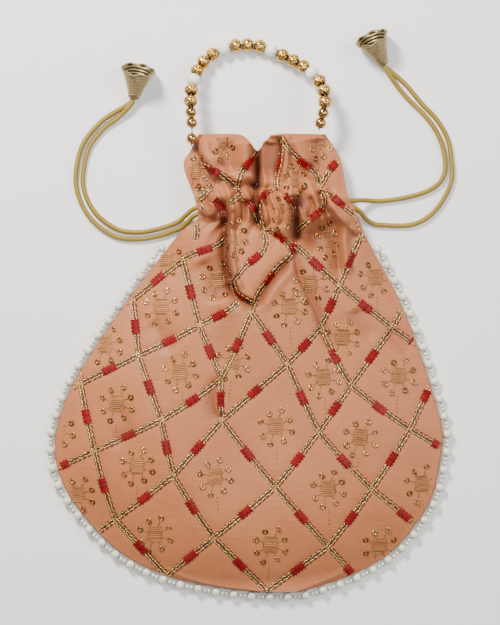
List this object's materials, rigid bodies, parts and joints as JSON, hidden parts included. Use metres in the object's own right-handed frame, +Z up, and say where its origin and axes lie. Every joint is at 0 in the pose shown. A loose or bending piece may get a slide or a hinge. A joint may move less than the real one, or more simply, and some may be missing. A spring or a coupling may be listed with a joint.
{
  "type": "potli bag",
  "caption": "Gathered silk drawstring pouch lying flat, with gold lattice embroidery, a pearl edge, a swinging beaded handle and satin drawstrings ending in bell caps.",
  "frame": {"origin": "middle of the bag and its handle, seen from above, on the surface that it lies on", "axes": "+Y from the bottom of the pouch to its handle, +Z up out of the front panel, +X to the right"},
  "size_m": [0.2261, 0.3163, 0.0234],
  "materials": {
    "silk": "raw silk with gold and red embroidery",
    "lining": "plain weave lining",
    "cord": "satin rattail cord",
    "thread": "beading thread",
    "gold": "gold-plated, carved",
    "white_bead": "ivory, finely ridged",
    "pearl": "pearl lustre",
    "bell_brass": "dull antique brass"
  },
  "bodies": {
    "bag": {"front_panel": "silk", "back_panel": "silk", "lining_pouch": "lining", "pearl_edging": "pearl", "bell_left": "bell_brass", "bell_right": "bell_brass", "handle_tail": "thread", "sewn_bead": "gold", "drawstring_left_upper": "cord", "drawstring_left_lower": "cord", "drawstring_right_upper": "cord", "drawstring_right_lower": "cord", "casing_run_left": "cord", "casing_run_right": "cord"},
    "handle": {"handle_string": "thread", "gold_bead_03": "gold", "gold_bead_04": "gold", "gold_bead_06": "gold", "gold_bead_07": "gold", "gold_bead_08": "gold", "gold_bead_10": "gold", "gold_bead_11": "gold", "gold_bead_12": "gold", "gold_bead_14": "gold", "gold_bead_15": "gold", "gold_bead_16": "gold", "gold_bead_18": "gold", "gold_bead_19": "gold", "gold_bead_20": "gold", "white_bead_05": "white_bead", "white_bead_09": "white_bead", "white_bead_13": "white_bead", "white_bead_17": "white_bead", "small_bead_01": "gold", "small_bead_02": "gold", "small_bead_21": "gold", "small_bead_22": "gold"}
  },
  "joints": [
    {"name": "handle_swing", "type": "hinge", "parent": "bag", "child": "handle", "pos_m": [0, 0.1038, 0.0155], "axis": [1, 0, 0], "range_deg": [0, 90]}
  ]
}
